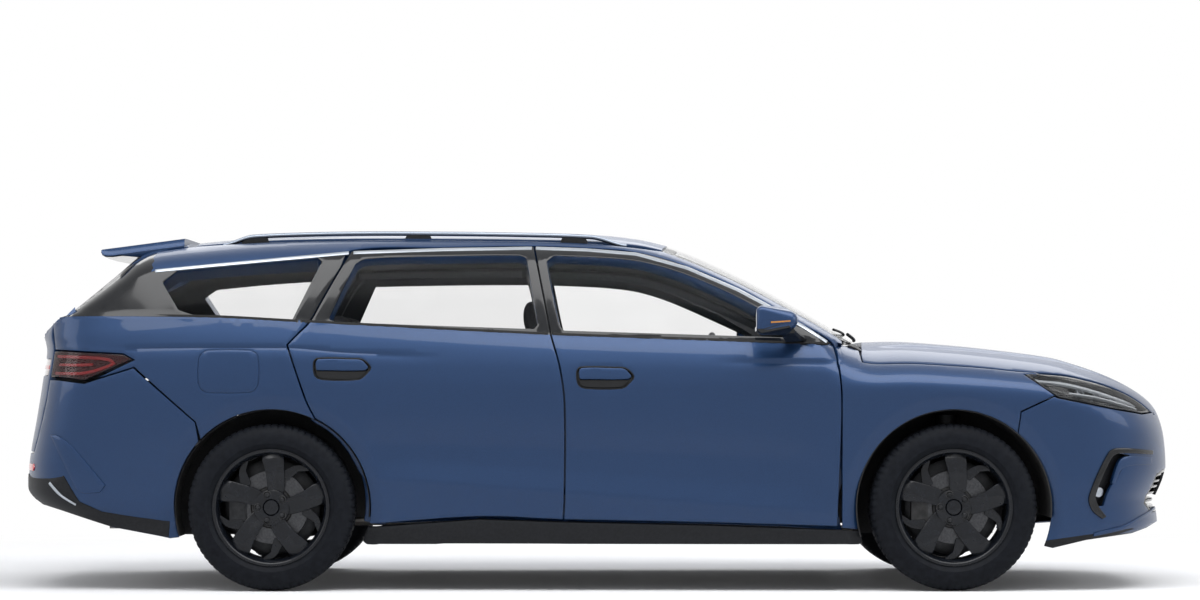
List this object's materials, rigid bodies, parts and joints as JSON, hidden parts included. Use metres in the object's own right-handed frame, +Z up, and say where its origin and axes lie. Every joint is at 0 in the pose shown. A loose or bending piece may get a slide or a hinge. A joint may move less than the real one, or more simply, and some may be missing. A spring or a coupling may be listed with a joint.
{
  "type": "station wagon",
  "caption": "Five-door station wagon with steered front wheels, opening doors, bonnet, tailgate and charging flap, seats, dashboard and roof rails.",
  "frame": {"origin": "on the ground, under the middle of the car's outline", "axes": "+X forward, +Y to the car's left, +Z up"},
  "size_m": [4.84, 2.1074, 1.505],
  "materials": {
    "blue_paint": "metallic blue paint",
    "black_trim": "black textured plastic",
    "gloss_black": "gloss black",
    "clear_glass": "lightly tinted glass",
    "dark_glass": "dark tinted glass",
    "lamp_clear": "clear lamp cover",
    "lamp_red": "red lamp cover",
    "steel": "plain steel",
    "cast": "dark castings",
    "underbody": "dark underbody coating",
    "alloy_black": "gloss black painted alloy",
    "rubber": "black rubber",
    "seat_cloth": "dark woven cloth",
    "cabin_plastic": "dark soft-touch plastic"
  },
  "bodies": {
    "body": {"body_sides": "blue_paint", "roof": "blue_paint", "roof_rails": "blue_paint", "front_wings": "blue_paint", "front_bumper": "blue_paint", "rear_bumper": "blue_paint", "grille": "gloss_black", "headlamps": "lamp_clear", "tail_lamps": "lamp_red", "windscreen": "clear_glass", "cowl": "black_trim", "quarter_windows": "dark_glass", "sill_covers": "black_trim", "floor_pan": "underbody", "arch_liners": "black_trim", "engine": "cast", "front_suspension": "cast", "rear_axle": "cast", "exhaust": "steel", "front_seats": "seat_cloth", "rear_seat": "seat_cloth", "dashboard": "cabin_plastic"},
    "knuckle_left": {"knuckle_left": "cast"},
    "knuckle_right": {"knuckle_right": "cast"},
    "front_left_wheel": {"tyre_front_left": "rubber", "wheel_front_left": "alloy_black"},
    "front_right_wheel": {"tyre_front_right": "rubber", "wheel_front_right": "alloy_black"},
    "rear_left_wheel": {"tyre_rear_left": "rubber", "wheel_rear_left": "alloy_black"},
    "rear_right_wheel": {"tyre_rear_right": "rubber", "wheel_rear_right": "alloy_black"},
    "steering_wheel": {"steering_wheel": "cabin_plastic"},
    "bonnet": {"bonnet": "blue_paint"},
    "charging_flap": {"fuel_flap": "blue_paint"},
    "left_front_door": {"front_door_left": "blue_paint", "front_window_left": "clear_glass", "mirror_left": "blue_paint"},
    "right_front_door": {"front_door_right": "blue_paint", "front_window_right": "clear_glass", "mirror_right": "blue_paint"},
    "left_rear_door": {"rear_door_left": "blue_paint", "rear_window_left": "dark_glass"},
    "right_rear_door": {"rear_door_right": "blue_paint", "rear_window_right": "dark_glass"},
    "tailgate": {"tailgate": "blue_paint", "tailgate_window": "dark_glass", "tailgate_spoiler": "blue_paint", "tailgate_lamp": "lamp_red"}
  },
  "joints": [
    {"name": "steer_left", "type": "hinge", "parent": "body", "child": "knuckle_left", "pos_m": [1.445, 0.81, 0.341], "axis": [0, 0, 1], "range_deg": [-34, 34]},
    {"name": "steer_right", "type": "hinge", "parent": "body", "child": "knuckle_right", "pos_m": [1.445, -0.81, 0.341], "axis": [0, 0, 1], "range_deg": [-34, 34]},
    {"name": "steering_wheel_turn", "type": "hinge", "parent": "body", "child": "steering_wheel", "pos_m": [0.43, 0.37, 0.905], "axis": [-0.9135, 0, 0.4067], "range_deg": [-476, 476]},
    {"name": "spin_front_left", "type": "hinge", "parent": "knuckle_left", "child": "front_left_wheel", "pos_m": [1.445, 0.81, 0.341], "axis": [0, 1, 0], "continuous": true},
    {"name": "spin_front_right", "type": "hinge", "parent": "knuckle_right", "child": "front_right_wheel", "pos_m": [1.445, -0.81, 0.341], "axis": [0, 1, 0], "continuous": true},
    {"name": "spin_rear_left", "type": "hinge", "parent": "body", "child": "rear_left_wheel", "pos_m": [-1.345, 0.81, 0.341], "axis": [0, 1, 0], "continuous": true},
    {"name": "spin_rear_right", "type": "hinge", "parent": "body", "child": "rear_right_wheel", "pos_m": [-1.345, -0.81, 0.341], "axis": [0, 1, 0], "continuous": true},
    {"name": "left_front_door_hinge", "type": "hinge", "parent": "body", "child": "left_front_door", "pos_m": [0.982, 0.94, 0.7], "axis": [0, 0, -1], "range_deg": [0, 66]},
    {"name": "right_front_door_hinge", "type": "hinge", "parent": "body", "child": "right_front_door", "pos_m": [0.982, -0.94, 0.7], "axis": [0, 0, 1], "range_deg": [0, 66]},
    {"name": "left_rear_door_hinge", "type": "hinge", "parent": "body", "child": "left_rear_door", "pos_m": [-0.149, 0.94, 0.7], "axis": [0, 0, -1], "range_deg": [0, 68]},
    {"name": "right_rear_door_hinge", "type": "hinge", "parent": "body", "child": "right_rear_door", "pos_m": [-0.149, -0.94, 0.7], "axis": [0, 0, 1], "range_deg": [0, 68]},
    {"name": "bonnet_hinge", "type": "hinge", "parent": "body", "child": "bonnet", "pos_m": [1.062, 0, 1.031], "axis": [0, -1, 0], "range_deg": [0, 50]},
    {"name": "tailgate_hinge", "type": "hinge", "parent": "body", "child": "tailgate", "pos_m": [-1.693, 0, 1.452], "axis": [0, 1, 0], "range_deg": [0, 78]},
    {"name": "flap_hinge", "type": "hinge", "parent": "body", "child": "charging_flap", "pos_m": [-1.394, -0.938, 0.897], "axis": [0, 0, 1], "range_deg": [0, 85]}
  ],
  "couplings": [
    {"joint": "steer_right", "follows": "steer_left", "ratio": 1},
    {"joint": "steering_wheel_turn", "follows": "steer_left", "ratio": 14}
  ]
}
